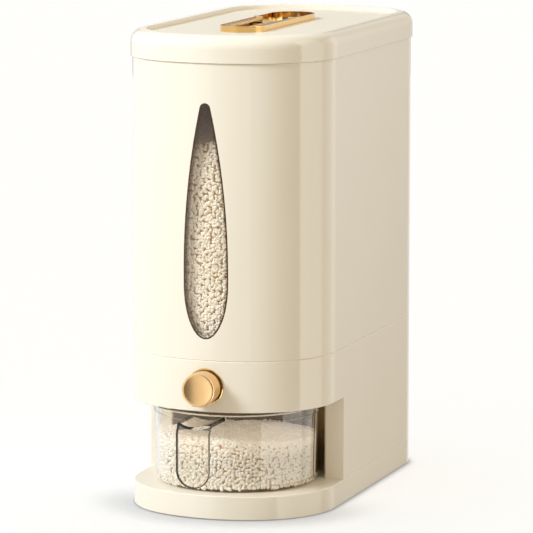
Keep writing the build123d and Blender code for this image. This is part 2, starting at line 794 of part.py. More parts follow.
def make_lid():
    top = prism(-lid_overhang, lid_z, rim_z)
    top = fillet(edges_at(top, rim_z, -lid_overhang), lid_round)
    recess_inset = lid_rim_width - lid_overhang
    top -= prism(recess_inset, panel_z, rim_z + past)
    top = fillet(edges_at(top, rim_z, recess_inset), lid_recess_round)
    under_z = panel_z - lid_plate
    hollow = prism(lid_skirt - lid_overhang, lid_z - past, under_z)
    hollow = fillet(edges_at(hollow, under_z, lid_skirt - lid_overhang), lid_round - lid_skirt)
    top -= hollow
    plug_inset = wall + plug_gap
    plug = ring(plug_inset, plug_inset + plug_wall, lid_z - plug_depth, under_z + past)
    groove_z = lid_z + seal_rise
    plug -= ring(plug_inset - past, plug_inset + seal_bite, groove_z, groove_z + seal_height)
    top += plug
    boss_z = liner_z + liner_thickness
    for x, y in liner_screw_places:
        top += post(x, y, boss_z, under_z + past, boss_radius)
        top -= post(x, y, boss_z - past, boss_z + liner_bite + pilot_spare, pilot_radius)
    for x, y in stud_places:
        top -= post(x, y, under_z - past, panel_z + past, tray_stud_radius + tray_stud_gap)
    return top


def make_lid_gasket():
    groove_z = lid_z + seal_rise
    return ring(wall + seal_gap, wall + plug_gap + seal_bite, groove_z, groove_z + seal_height)


def make_lid_liner():
    liner = prism(wall + plug_gap + plug_wall + liner_gap, liner_z, liner_z + liner_thickness)
    for x, y in liner_screw_places:
        liner -= post(x, y, liner_z - past, liner_z + liner_thickness + past, through_radius)
    return liner


def make_liner_screws():
    tip_z = liner_z + liner_thickness + liner_bite
    return group([screw(x, y, liner_z, tip_z) for x, y in liner_screw_places])


pivot_y = nose_y + tray_setback + bail_pivot_setback
pivot_z = panel_z + bail_pivot_rise
bail_outer = tray_half - tray_rim - bail_gap
bail_inner = bail_outer - bail_width
ear_inner = tray_half - tray_rim - ear_stand


def make_handle_tray():
    floor = panel_z + tray_floor
    tray = tray_prism(0, panel_z, panel_z + tray_height)
    tray = fillet(tray.edges().group_by(Axis.Z)[-1], tray_rim / 3)
    tray -= tray_prism(tray_rim, floor, panel_z + tray_height + past)
    ear_radius = knuckle_radius + ear_margin
    ear = rod_along_x(pivot_y, pivot_z, ear_inner, tray_half - ear_skin, ear_radius)
    ear &= block(0, tray_half, pivot_y - ear_radius, pivot_y + ear_radius, floor, pivot_z + ear_radius)
    tray += both_sides(ear)
    for x, y in stud_places:
        tray += post(x, y, panel_z - lid_plate + overlap, panel_z + overlap, tray_stud_radius)
        tray -= post(x, y, panel_z - lid_plate, floor - tray_skin, pilot_radius)
    pin = rod_along_x(pivot_y, pivot_z, ear_inner - past, tray_half - pin_skin, pin_radius)
    return tray - both_sides(pin)


def make_tray_screws():
    under_z = panel_z - lid_plate
    seat_z = under_z - washer_thickness
    tip_z = panel_z + tray_floor - tray_skin - tray_tip_gap
    screws = []
    for x, y in stud_places:
        washer = post(x, y, seat_z, under_z, tray_stud_radius + washer_reach)
        washer -= post(x, y, seat_z - past, under_z + past, screw_radius)
        screws.append(screw(x, y, seat_z, tip_z) + washer)
    return group(screws)


# A flat loop, folded forward in the tray, with a knuckle at the end of each arm.
def make_handle_bail():
    arm_z = pivot_z - bail_thickness / 2
    top_z = arm_z + bail_thickness
    bend_y = nose_y + tray_setback + tray_rim + bail_gap + bail_outer
    loop = centred(bail_outer, bend_y, pivot_y, arm_z, top_z)
    loop += post(0, bend_y, arm_z, top_z, bail_outer)
    loop -= centred(bail_inner, bend_y, pivot_y + past, arm_z - past, top_z + past)
    loop -= post(0, bend_y, arm_z - past, top_z + past, bail_inner)
    loop = fillet(loop.edges().filter_by(lambda edge: edge.bounding_box().size.Z < 0.01),
                  bail_thickness / 3)
    knuckle_end = ear_inner - knuckle_gap
    loop += both_sides(rod_along_x(pivot_y, pivot_z, bail_inner, knuckle_end, knuckle_radius))
    bore = rod_along_x(pivot_y, pivot_z, bail_inner - past, knuckle_end + past, pin_radius + pin_gap)
    return loop - both_sides(bore)


def make_bail_pins():
    end = tray_half - pin_skin - pin_end_gap
    pin = rod_along_x(pivot_y, pivot_z, bail_inner + pin_inset, end, pin_radius)
    return group([both_sides(pin)])


def cup_section():
    rim, foot, top = cup_height, cup_foot_radius, cup_rim_radius
    bend = cup_foot_round
    inner_bend = cup_foot_round - cup_wall
    inner_foot = foot - cup_wall
    inner_top = top - cup_wall
    band = top + collar_band_step
    band_z = rim - collar_band_height
    lower_edge_z = band_z + collar_band_slope
    shave = 1 - sqrt(0.5)
    return make_face([
        Line((0, 0), (foot - bend, 0)),
        ThreePointArc((foot - bend, 0), (foot - bend * shave, bend * shave), (foot, bend)),
        Line((foot, bend), (top, band_z)),
        Line((top, band_z), (band, lower_edge_z)),
        Line((band, lower_edge_z), (band, rim - cup_rim_round)),
        ThreePointArc((band, rim - cup_rim_round),
                      (band - cup_rim_round * shave, rim - cup_rim_round * shave),
                      (band - cup_rim_round, rim)),
        Line((band - cup_rim_round, rim), (inner_top + cup_rim_break, rim)),
        Line((inner_top + cup_rim_break, rim), (inner_top, rim - cup_rim_break)),
        Line((inner_top, rim - cup_rim_break), (inner_foot, cup_floor + inner_bend)),
        ThreePointArc((inner_foot, cup_floor + inner_bend),
                      (inner_foot - inner_bend * shave, cup_floor + inner_bend * shave),
                      (inner_foot - inner_bend, cup_floor)),
        Line((inner_foot - inner_bend, cup_floor), (0, cup_floor)),
        Line((0, cup_floor), (0, 0)),
    ])


# The strap leaves the rim, bends down and ends in a half round. Its top is a shallow trough.
def cup_strap():
    half = strap_width / 2
    top = deck_z + cup_height - strap_below_rim
    low = deck_z + cup_height - strap_drop
    front = nose_y - handle_reach
    inner = front + strap_thickness
    root = cup_y - cup_rim_radius + cup_wall / 2
    shave = 1 - sqrt(0.5)

    # All that lies behind and under the strap's line, drawn in by an inset.
    def under_bend(inset):
        y, z, bend = front + inset, top - inset, strap_bend - inset
        side = make_face([
            Line((root, z), (y + bend, z)),
            ThreePointArc((y + bend, z), (y + bend * shave, z - bend * shave), (y, z - bend)),
            Line((y, z - bend), (y, low)),
            Line((y, low), (root, low)),
            Line((root, low), (root, z)),
        ])
        side_plane = Plane(origin=(-half, 0, 0), x_dir=(0, 1, 0), z_dir=(1, 0, 0))
        return extrude(side_plane * side, strap_width)

    whole = under_bend(0)
    strap = whole - under_bend(strap_thickness)
    corners = centred(half + past, front - past, inner + past, low - past, low + half)
    strap -= corners - rod_along_y(0, low + half, front - 2 * past, inner + 2 * past, half)

    def on_plate(edge):
        box = edge.bounding_box()
        return box.size.Y < 0.01 < box.size.Z and box.max.Z < top - strap_bend + 0.01

    strap = fillet(strap.edges().filter_by(on_plate), strap_edge_round)
    curve = (half**2 + strap_dip**2) / (2 * strap_dip)
    axis_z = top - strap_dip + curve
    hollow = rod_along_y(0, axis_z, front - past, root + past, curve)
    trough = rod_along_y(0, axis_z, front - past, root, curve + strap_thickness) & whole
    return strap + trough - hollow


def make_measuring_cup():
    bowl = revolve(Plane.XZ * cup_section(), Axis.Z)
    return Pos(0, cup_y, deck_z) * bowl + cup_strap()


makers = {
    "base_plate": make_base_plate,
    "bottom_cover": make_bottom_cover,
    "rubber_feet": make_rubber_feet,
    "cover_screws": make_cover_screws,
    "column_screws": make_column_screws,
    "lower_housing": make_lower_housing,
    "gate_housing": make_gate_housing,
    "gate_screws": make_gate_screws,
    "hopper": make_hopper,
    "hopper_screws": make_hopper_screws,
    "shutter": make_shutter,
    "push_rod": make_push_rod,
    "rod_screw": make_rod_screw,
    "button_cap": make_button_cap,
    "button_collar": make_button_collar,
    "collar_screws": make_collar_screws,
    "return_spring": make_return_spring,
    "rice_tank": make_rice_tank,
    "tie_screws": make_tie_screws,
    "window_gasket": make_window_gasket,
    "window_pane": make_window_pane,
    "lid": make_lid,
    "lid_gasket": make_lid_gasket,
    "lid_liner": make_lid_liner,
    "liner_screws": make_liner_screws,
    "handle_tray": make_handle_tray,
    "tray_screws": make_tray_screws,
    "handle_bail": make_handle_bail,
    "bail_pins": make_bail_pins,
    "measuring_cup": make_measuring_cup,
}

os.makedirs("parts", exist_ok=True)
for name, make in makers.items():
    export_step(make(), f"parts/{name}.step")
    print(name)
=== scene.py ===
import math
import random

import bmesh
import bpy
from mathutils import Matrix, Vector, noise


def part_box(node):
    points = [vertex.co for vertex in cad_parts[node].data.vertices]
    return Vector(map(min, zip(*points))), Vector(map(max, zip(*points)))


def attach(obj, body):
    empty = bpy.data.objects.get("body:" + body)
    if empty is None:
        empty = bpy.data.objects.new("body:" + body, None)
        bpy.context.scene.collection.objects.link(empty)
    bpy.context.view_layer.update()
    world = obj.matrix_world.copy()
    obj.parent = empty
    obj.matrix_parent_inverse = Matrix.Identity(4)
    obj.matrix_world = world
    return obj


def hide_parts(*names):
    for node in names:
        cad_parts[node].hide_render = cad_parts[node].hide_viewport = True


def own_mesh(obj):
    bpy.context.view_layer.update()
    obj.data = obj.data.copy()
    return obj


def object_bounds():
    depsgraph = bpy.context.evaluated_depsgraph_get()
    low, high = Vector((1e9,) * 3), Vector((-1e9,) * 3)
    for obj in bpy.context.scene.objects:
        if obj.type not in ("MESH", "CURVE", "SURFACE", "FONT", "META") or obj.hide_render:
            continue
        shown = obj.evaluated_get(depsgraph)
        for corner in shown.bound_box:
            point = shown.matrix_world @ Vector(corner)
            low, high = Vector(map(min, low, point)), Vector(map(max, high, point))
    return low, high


# Rice dispenser with a clear cup: photo camera, studio, finishes, and the rice in tank and cup.
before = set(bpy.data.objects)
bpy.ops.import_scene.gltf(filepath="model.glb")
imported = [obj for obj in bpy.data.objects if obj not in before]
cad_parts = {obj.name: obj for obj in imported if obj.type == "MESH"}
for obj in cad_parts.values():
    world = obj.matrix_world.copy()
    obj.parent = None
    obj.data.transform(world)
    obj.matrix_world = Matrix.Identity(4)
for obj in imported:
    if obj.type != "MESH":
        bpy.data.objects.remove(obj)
cadLow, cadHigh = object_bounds()
scene = bpy.context.scene
scene.view_settings.view_transform = "Standard"
mm = 0.001
print("frame loaded:", len(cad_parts), "nodes")

# Camera, where the photograph was taken from.
photoCamera = {
    "azimuth": 19.25,
    "elevation": 8.42,
    "distance": 3.0465,
    "target": (0.0017, -0.00615, 0.1754),
    "focalPixels": 3884.5,
    "photoPixels": 533,
    "sensor": 36.0,
    "clip": (0.1, 60.0),
}


def directionOf(azimuth, elevation):  # azimuth 0 points at the viewer in front, 90 to the right
    a, e = math.radians(azimuth), math.radians(elevation)
    return Vector((math.sin(a) * math.cos(e), -math.cos(a) * math.cos(e), math.sin(e)))


def aimed(name, data, place, target):
    obj = bpy.data.objects.new(name, data)
    scene.collection.objects.link(obj)
    obj.location = place
    obj.rotation_mode = "QUATERNION"
    obj.rotation_quaternion = (Vector(target) - Vector(place)).to_track_quat("-Z", "Y")
    return obj


lens = bpy.data.cameras.new("photoCamera")
lens.sensor_width = photoCamera["sensor"]
lens.lens = photoCamera["focalPixels"] * photoCamera["sensor"] / photoCamera["photoPixels"]
lens.clip_start, lens.clip_end = photoCamera["clip"]
target = Vector(photoCamera["target"])
away = directionOf(photoCamera["azimuth"], photoCamera["elevation"])
scene.camera = aimed("photoCamera", lens, target + away * photoCamera["distance"], target)
print("camera placed")


class Wire:  # one output socket, so that shader maths is written as plain expressions
    def __init__(self, finish, socket):
        self.finish, self.socket = finish, socket

    def maths(self, operation, *values):
        return self.finish.node("Math", {"operation": operation}, dict(enumerate(values)))

    def __add__(self, other):
        return self.maths("ADD", self, other)

    def __radd__(self, other):
        return self.maths("ADD", other, self)

    def __sub__(self, other):
        return self.maths("SUBTRACT", self, other)

    def __rsub__(self, other):
        return self.maths("SUBTRACT", other, self)

    def __mul__(self, other):
        return self.maths("MULTIPLY", self, other)

    def __rmul__(self, other):
        return self.maths("MULTIPLY", other, self)

    def __truediv__(self, other):
        return self.maths("DIVIDE", self, other)

    def __abs__(self):
        return self.maths("ABSOLUTE", self)

    def __lt__(self, other):
        return self.maths("LESS_THAN", self, other)

    def __or__(self, other):  # the greater of the two
        return self.maths("MAXIMUM", self, other)

    def root(self):
        return self.maths("SQRT", self)

    def between(self, low, high):  # 0 below low, 1 above high
        sockets = {"Value": self, "From Min": low, "From Max": high}
        return self.finish.node("MapRange", {"interpolation_type": "SMOOTHSTEP"}, sockets)


class Finish:  # a material while it is built
    def __init__(self, name, constants=None, tree=None):
        self.material = None
        if tree is None:
            self.material = bpy.data.materials.new(name)
            self.material.use_nodes = True
            tree = self.material.node_tree
        self.tree = tree
        self.principled = tree.nodes.get("Principled BSDF")
        for socket, value in (constants or {}).items():
            self.feed(socket, value)

    def node(self, kind, settings=None, sockets=None, out=0):
        made = self.tree.nodes.new("ShaderNode" + kind)
        for name, value in (settings or {}).items():
            setattr(made, name, value)
        for key, value in (sockets or {}).items():
            self.join(made.inputs[key], value)
        return Wire(self, made.outputs[out])

    def join(self, socket, value):
        if isinstance(value, Wire):
            self.tree.links.new(value.socket, socket)
        else:
            socket.default_value = (*value, 1.0) if socket.type == "RGBA" else value

    def feed(self, socket, value):
        self.join(self.principled.inputs[socket], value)

    def plain(self):  # the principled shader's own output
        return Wire(self, self.principled.outputs[0])

    def part(self, vector, axis):
        return self.node("SeparateXYZ", sockets={0: vector}, out=axis)

    def place(self):
        return self.node("TexCoord", out="Object")

    def along(self, axis):
        return self.part(self.place(), axis)

    def grain(self, scale, detail=2.0, stretch=None):
        where = self.place()
        if stretch:
            where = self.node("Mapping", sockets={"Vector": where, "Scale": stretch})
        return self.node("TexNoise", sockets={"Vector": where, "Scale": scale, "Detail": detail})

    def blended(self, share, first, second):
        return self.node("Mix", {"data_type": "RGBA"}, {0: share, 6: first, 7: second}, out=2)

    def mottle(self, scale, first, second):  # the finish's colour, two tones mixed by noise
        self.feed("Base Color", self.blended(self.grain(scale), first, second))

    def sheen(self, base, share, scale, detail=2.0):  # roughness, a base and a share of fine noise
        self.feed("Roughness", base + share * self.grain(scale, detail))

    def bumps(self, scale, strength, distance, detail=2.0):
        sockets = {"Height": self.grain(scale, detail), "Strength": strength, "Distance": distance}
        self.feed("Normal", self.node("Bump", sockets=sockets))

    def rays(self, *kinds):
        path = self.tree.nodes.new("ShaderNodeLightPath")
        seen = [Wire(self, path.outputs[kind]) for kind in kinds]
        share = seen[0]
        for other in seen[1:]:
            share = share | other
        return share

    def show(self, shader):
        outputs = [n for n in self.tree.nodes if n.type in ("OUTPUT_MATERIAL", "OUTPUT_WORLD")]
        self.join(outputs[0].inputs["Surface"], shader)


def paint(red, green, blue):  # a colour as a paint chart gives it, turned to light values
    def light(value):
        value /= 255
        return value / 12.92 if value <= 0.04045 else ((value + 0.055) / 1.055) ** 2.4
    return light(red), light(green), light(blue)


white, black = (1.0, 1.0, 1.0), (0.0, 0.0, 0.0)
backgroundRays = ("Is Camera Ray", "Is Glossy Ray", "Is Transmission Ray")

# Studio: white background, uneven soft light all round, and one large key from the upper left.
studio = {
    "ambientLeft": (0.97, 0.95, 0.895),
    "ambientRight": (1.04, 0.93, 0.74),
    "ambientTurn": (-0.8, 0.8),     # where the left colour starts to give way, and where it has
    "ambientStrength": 0.68,
    "floorPaint": paint(247, 247, 246),
    "floorShown": paint(236, 242, 253),
    "floorLift": 0.425,
    "floorHalf": 8.0,
    "keyAzimuth": -42.0,
    "keyElevation": 36.0,
    "keyDistance": 3.4,
    "keySize": (1.1, 1.1),
    "keyPower": 90.0,
    "keyColour": (0.92, 1.0, 1.08),
    "cardDistance": 1.3,
    "cardSteps": 8,
}

world = bpy.data.worlds.new("studioWorld")
world.use_nodes = True
scene.world = world
sky = Finish("studioWorld", tree=world.node_tree)
whiteSky = sky.node("Background", sockets={"Color": white, "Strength": 1.0})
rightward = sky.part(sky.node("TexCoord", out="Generated"), "X").between(*studio["ambientTurn"])
warmth = sky.blended(rightward, studio["ambientLeft"], studio["ambientRight"])
softSky = sky.node("Background", sockets={"Color": warmth, "Strength": studio["ambientStrength"]})
sky.show(sky.node("MixShader", sockets={0: sky.rays(*backgroundRays), 1: softSky, 2: whiteSky}))


def meshOf(name, bm):
    mesh = bpy.data.meshes.new(name)
    bm.to_mesh(mesh)
    bm.free()
    return mesh


def stagePiece(name, bm, finish):
    obj = bpy.data.objects.new(name, meshOf(name, bm))
    scene.collection.objects.link(obj)
    obj.data.materials.append(finish.material)
    return obj


# Floor. A painted contact shadow greys it a little next to the base: close and wide are in
# multiples of the base's outline.
contactShadow = {
    "half": 80 * mm,
    "noseY": -71 * mm,
    "noseDepth": 70 * mm,
    "tailY": 113 * mm,
    "tailDepth": 56 * mm,
    "close": (0.97, 1.09),
    "closeShare": 0.5,
    "wide": (0.9, 1.55),
    "wideShare": 0.34,
    "wideY": (-110 * mm, -20 * mm),  # the wide part fades out towards the back
}
floorFinish = Finish("paleFloor", {"Roughness": 0.9, "Specular IOR Level": 0.0})
shown = floorFinish.rays(*backgroundRays)
ahead = ((contactShadow["noseY"] - floorFinish.along("Y")) | 0.0) / contactShadow["noseDepth"]
behind = ((floorFinish.along("Y") - contactShadow["tailY"]) | 0.0) / contactShadow["tailDepth"]
beside = floorFinish.along("X") / contactShadow["half"]
reach = (beside * beside + (ahead | behind) * (ahead | behind)).root()
# Painted shadow: the floor's colour and glow are darkened close to the base and, at the front,
# further out.
close = (1.0 - reach.between(*contactShadow["close"])) * contactShadow["closeShare"]
front = 1.0 - floorFinish.along("Y").between(*contactShadow["wideY"])
wide = (1.0 - reach.between(*contactShadow["wide"])) * contactShadow["wideShare"] * front
outsideContactShadow = 1.0 - (close | wide)
bare = floorFinish.blended(shown, studio["floorPaint"], studio["floorShown"])
floorFinish.feed("Base Color", floorFinish.blended(outsideContactShadow, black, bare))
lift = shown * outsideContactShadow * studio["floorLift"]
glow = floorFinish.node("Emission", sockets={"Color": white, "Strength": lift})
floorFinish.show(floorFinish.node("AddShader", sockets={0: floorFinish.plain(), 1: glow}))
bm = bmesh.new()
bmesh.ops.create_grid(bm, x_segments=1, y_segments=1, size=studio["floorHalf"])
floor = stagePiece("floor", bm, floorFinish)
floor.visible_glossy = False

# Cards round the object. Each runs from one azimuth to another and from one height to another,
# with a glow for its lower and upper edge at both ends. Only gloss and clear plastic show them.
cards = {
    "stripSoftbox": {
        "azimuths": (81.0, 119.0), "heights": (-1.2, 1.6), "low": (3.4, 2.0), "high": (3.4, 2.0)},
    "cupSoftbox": {
        "azimuths": (44.0, 80.0), "heights": (-0.4, 0.0), "low": (3.0, 3.0), "high": (3.0, 3.0),
        "away": 0.45},
    "cornerCard": {
        "azimuths": (119.0, 146.0), "heights": (-0.6, 0.9), "low": (0.7, 1.2), "high": (1.1, 2.1)},
    "sideCard": {
        "azimuths": (146.0, 166.0), "heights": (-0.6, 0.9), "low": (1.3, 0.0), "high": (2.6, 1.0)},
    "backCard": {
        "azimuths": (180.0, 225.0), "heights": (0.2, 1.2), "low": (0.35, 0.35), "high": (0.5, 0.5)},
    "keyCard": {
        "azimuths": (-62.0, -26.0), "heights": (-0.4, 1.4), "low": (1.0, 1.4), "high": (1.0, 1.4)},
    "frontFlag": {
        "azimuths": (-12.0, 55.0), "heights": (-0.9, 1.2), "low": (0.1, 0.1), "high": (0.3, 0.3),
        "seenThrough": True},
    "cornerFlag": {
        "azimuths": (55.0, 81.0), "heights": (-0.4, 1.2), "low": (0.1, 0.1), "high": (0.2, 0.2)},
    "leftDark": {
        "azimuths": (-160.0, -14.0), "heights": (-0.9, 1.2), "low": (0.02, 0.02),
        "high": (0.04, 0.04), "seenThrough": True, "reflected": False},
    "rightDark": {
        "azimuths": (46.0, 150.0), "heights": (-0.9, 1.2), "low": (0.02, 0.02),
        "high": (0.04, 0.04), "seenThrough": True, "reflected": False},
}


def card(
        name, azimuths, heights, low, high,
        away=studio["cardDistance"], seenThrough=False, reflected=True):
    finish = Finish(name)
    side = finish.part(finish.node("UVMap"), "X")
    rise = finish.part(finish.node("UVMap"), "Y")
    below = side * (low[1] - low[0]) + low[0]
    above = side * (high[1] - high[0]) + high[0]
    strength = below + rise * (above - below)
    finish.show(finish.node("Emission", sockets={"Color": white, "Strength": strength}))
    bm = bmesh.new()
    uv = bm.loops.layers.uv.new("card")
    steps = studio["cardSteps"]
    turns = [azimuths[0] + (azimuths[1] - azimuths[0]) * k / steps for k in range(steps + 1)]
    feet = [directionOf(turn, 0) * away for turn in turns]
    rows = [[bm.verts.new((p.x, p.y, z)) for p in feet] for z in heights]
    for k in range(steps):
        face = bm.faces.new((rows[0][k], rows[0][k + 1], rows[1][k + 1], rows[1][k]))
        places = ((k, 0), (k + 1, 0), (k + 1, 1), (k, 1))
        for loop, (u, v) in zip(face.loops, places):
            loop[uv].uv = (u / steps, v)
    made = stagePiece(name, bm, finish)
    made.visible_camera = made.visible_diffuse = made.visible_shadow = False
    made.visible_transmission = seenThrough
    made.visible_glossy = reflected


for name, shape in cards.items():
    card(name, **shape)

keyLamp = bpy.data.lights.new("keySoftbox", "AREA")
keyLamp.shape = "RECTANGLE"
keyLamp.size, keyLamp.size_y = studio["keySize"]
keyLamp.energy = studio["keyPower"]
keyLamp.color = studio["keyColour"]
middle = (cadLow + cadHigh) / 2
keyWay = directionOf(studio["keyAzimuth"], studio["keyElevation"])
keySoftbox = aimed("keySoftbox", keyLamp, middle + keyWay * studio["keyDistance"], middle)
keySoftbox.visible_glossy = False
unlit = bpy.data.collections.new("notUnderTheKey")  # the floor keeps its own even light
unlit.objects.link(floor)
unlit.collection_objects[0].light_linking.link_state = "EXCLUDE"
keySoftbox.light_linking.receiver_collection = unlit
print("studio lit")


def dress(finish, *nodes):
    for node in nodes:
        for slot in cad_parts[node].material_slots:
            slot.material = finish.material


# Finishes. Patterns are laid on object coordinates, in metres.
creamLook = {
    "colours": (paint(242, 233, 216), paint(246, 238, 222)),
    "colourScale": 14.0,
    "roughness": 0.09,
    "roughnessNoise": 0.06,
    "specks": (120.0, 3.0),
    "roughnessOnTop": 0.28,
    "facesUp": (0.93, 0.99),
    "bumps": (260.0, 0.05, 0.0001, 1.0),
    "bayShadeColour": paint(150, 128, 94),   # the bay behind the cup is in shade
    "baySides": (63 * mm, 66 * mm),
    "bayFront": (-78 * mm, -66 * mm),
    "bayBack": 2 * mm,
    "bayTop": (80 * mm, 83 * mm),
    "bayDeck": (19 * mm, 22 * mm),
}
creamGloss = Finish("creamGloss", {"IOR": 1.46})
cream = creamGloss.blended(creamGloss.grain(creamLook["colourScale"]), *creamLook["colours"])
# Painted shade: the cream is darkened inside the bay behind the cup.
inBayShade = 1.0 - abs(creamGloss.along("X")).between(*creamLook["baySides"])
inBayShade = inBayShade * creamGloss.along("Y").between(*creamLook["bayFront"])
inBayShade = inBayShade * (creamGloss.along("Y") < creamLook["bayBack"])
inBayShade = inBayShade * (1.0 - creamGloss.along("Z").between(*creamLook["bayTop"]))
inBayShade = inBayShade * creamGloss.along("Z").between(*creamLook["bayDeck"])
creamGloss.feed("Base Color", creamGloss.blended(inBayShade, cream, creamLook["bayShadeColour"]))
facing = creamGloss.part(creamGloss.node("NewGeometry", out="Normal"), "Z")
onTop = creamLook["roughnessOnTop"] * facing.between(*creamLook["facesUp"])
specks = creamLook["roughnessNoise"] * creamGloss.grain(*creamLook["specks"])
creamGloss.feed("Roughness", creamLook["roughness"] + specks + onTop)
creamGloss.bumps(*creamLook["bumps"])
dress(creamGloss, "base_plate", "lower_housing", "rice_tank", "lid")

# Plain finishes, all laid by noise: two tones, a roughness and, on one of them, fine bumps.
plainLooks = {
    "satinWhite": {
        "constants": {"IOR": 1.46},
        "tones": (30.0, paint(232, 229, 220), paint(238, 236, 229)),
        "sheen": (0.38, 0.12, 400.0), "bumps": (2500.0, 0.25, 0.0001),
        "nodes": ("bottom_cover", "gate_housing", "hopper", "lid_liner"),
    },
    "paleAcetal": {
        "constants": {"IOR": 1.48},
        "tones": (40.0, paint(228, 224, 214), paint(236, 233, 225)),
        "sheen": (0.28, 0.1, 500.0),
        "nodes": ("shutter", "push_rod"),
    },
    "polishedGold": {
        "constants": {"Metallic": 1.0},
        "tones": (60.0, paint(218, 176, 108), paint(236, 200, 136)),
        "sheen": (0.06, 0.06, 900.0, 3.0),
        "nodes": ("button_collar", "handle_tray", "handle_bail", "bail_pins"),
    },
    "brightSteel": {
        "constants": {"Metallic": 1.0},
        "tones": (300.0, paint(196, 197, 199), paint(214, 214, 215)),
        "sheen": (0.22, 0.16, 1500.0),
        "nodes": (
            "cover_screws", "column_screws", "gate_screws", "hopper_screws", "rod_screw",
            "collar_screws", "return_spring", "tie_screws", "liner_screws", "tray_screws",
        ),
    },
    "darkRubber": {
        "constants": {"IOR": 1.5},
        "tones": (200.0, paint(46, 34, 24), paint(66, 50, 36)),
        "sheen": (0.3, 0.2, 800.0),
        "nodes": ("rubber_feet", "window_gasket"),
    },
    "paleSilicone": {
        "constants": {"IOR": 1.42},
        "tones": (90.0, paint(222, 217, 206), paint(232, 228, 219)),
        "sheen": (0.5, 0.15, 700.0),
        "nodes": ("lid_gasket",),
    },
}
for name, look in plainLooks.items():
    finish = Finish(name, look["constants"])
    finish.mottle(*look["tones"])
    finish.sheen(*look["sheen"])
    if "bumps" in look:
        finish.bumps(*look["bumps"])
    dress(finish, *look["nodes"])

buttonLook = {
    "tones": (60.0, paint(236, 187, 122), paint(248, 211, 158)),
    "roughness": 0.08,
    "faceRoughness": 0.1,           # more on the front face,
    "faceMarks": 0.08,              # and what turning marks add there
    "markGrain": (2600.0, 2.0, (1.0, 1.0, 0.12)),
    "faceDepth": 1.0 * mm,
}
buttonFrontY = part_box("button_cap")[0].y
buttonGold = Finish("buttonGold", {"Metallic": 1.0})
onFace = buttonGold.along("Y") < buttonFrontY + buttonLook["faceDepth"]
marks = buttonLook["faceMarks"] * buttonGold.grain(*buttonLook["markGrain"])
rougher = onFace * (buttonLook["faceRoughness"] + marks)
buttonGold.mottle(*buttonLook["tones"])
buttonGold.feed("Roughness", buttonLook["roughness"] + rougher)
dress(buttonGold, "button_cap")


def letLightIn(finish, tint, solid):  # lamps and bounced light reach what is behind the plastic
    clear = finish.node("BsdfTransparent", sockets={"Color": tint})
    inside = finish.rays("Is Shadow Ray", "Is Diffuse Ray")
    finish.show(finish.node("MixShader", sockets={0: inside, 1: solid, 2: clear}))


windowLow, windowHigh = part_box("window_pane")
paneLook = {
    "half": 17.8 * mm,                      # the outline: upright in the middle,
    "belly": windowLow.z + 46.3 * mm,
    "foot": 41.3 * mm,                      # elliptic below
    "shoulder": windowLow.z + 56.3 * mm,
    "taper": 1.1446,                        # and tapered above
    "rim": (-2.9 * mm, -1.5 * mm),
    "rimTint": paint(158, 128, 98),
    "clearTint": paint(250, 246, 238),
    "smokeAndShadeTint": paint(150, 130, 108),
    "smokeAndShade": (windowHigh.z - 62 * mm, windowHigh.z - 8 * mm),
    "tipShade": paint(114, 94, 70),             # painted shade: a brown film above the rice
    "tipShadeShare": 0.16,
    "tipShadeFrom": (281 * mm, 291 * mm),
    "tipShadeTo": (289 * mm, windowHigh.z - 12 * mm),
    "lightTint": paint(250, 247, 241),
    "sheen": (0.01, 0.02, 300.0),
}
smokedPane = Finish("smokedPane", {"IOR": 1.45, "Transmission Weight": 1.0})
tapered = (smokedPane.along("Z") - paneLook["shoulder"]) | 0.0
rounded = ((paneLook["belly"] - smokedPane.along("Z")) | 0.0) / paneLook["foot"]
halfDrop = (1.0 - rounded * rounded).root() * paneLook["half"]
halfDrop = halfDrop - tapered * tapered / paneLook["taper"]
# Painted shade: a brown rim along the window's edge.
rim = (abs(smokedPane.along("X")) - halfDrop).between(*paneLook["rim"])
# The pane's own smoke tint, deepened towards the tip by painted shade of the dark tank above the
# rice.
smokeAndShade = smokedPane.along("Z").between(*paneLook["smokeAndShade"])
tint = smokedPane.blended(smokeAndShade, paneLook["clearTint"], paneLook["smokeAndShadeTint"])
smokedPane.feed("Base Color", smokedPane.blended(rim, tint, paneLook["rimTint"]))
smokedPane.sheen(*paneLook["sheen"])
# Painted shade: a brown film mixed into the pane above the rice, towards the tip.
tipShade = smokedPane.along("Z").between(*paneLook["tipShadeFrom"])
tipShade = tipShade * (1.0 - smokedPane.along("Z").between(*paneLook["tipShadeTo"])) * paneLook["tipShadeShare"]
tipShadeFilm = smokedPane.node("BsdfDiffuse", sockets={"Color": paneLook["tipShade"]})
pane = smokedPane.node("MixShader", sockets={0: tipShade, 1: smokedPane.plain(), 2: tipShadeFilm})
letLightIn(smokedPane, paneLook["lightTint"], pane)
dress(smokedPane, "window_pane")

cupLook = {
    "tints": (50.0, paint(250, 247, 240), paint(247, 243, 235)),
    "sheen": (0.005, 0.02, 250.0),
    "lineTint": paint(52, 40, 28),          # painted shade: a dark line along the edge of the strap handle
    "line": (12.0 * mm, 12.6 * mm),
    "lineMiddle": 0.4 * mm,
    "lineLow": 42.8 * mm,                   # centre of the strap's round end
    "lineRoot": -134.5 * mm,
    "lightTint": paint(247, 246, 244),
}
clearPlastic = Finish("clearPlastic", {"IOR": 1.46, "Transmission Weight": 1.0})
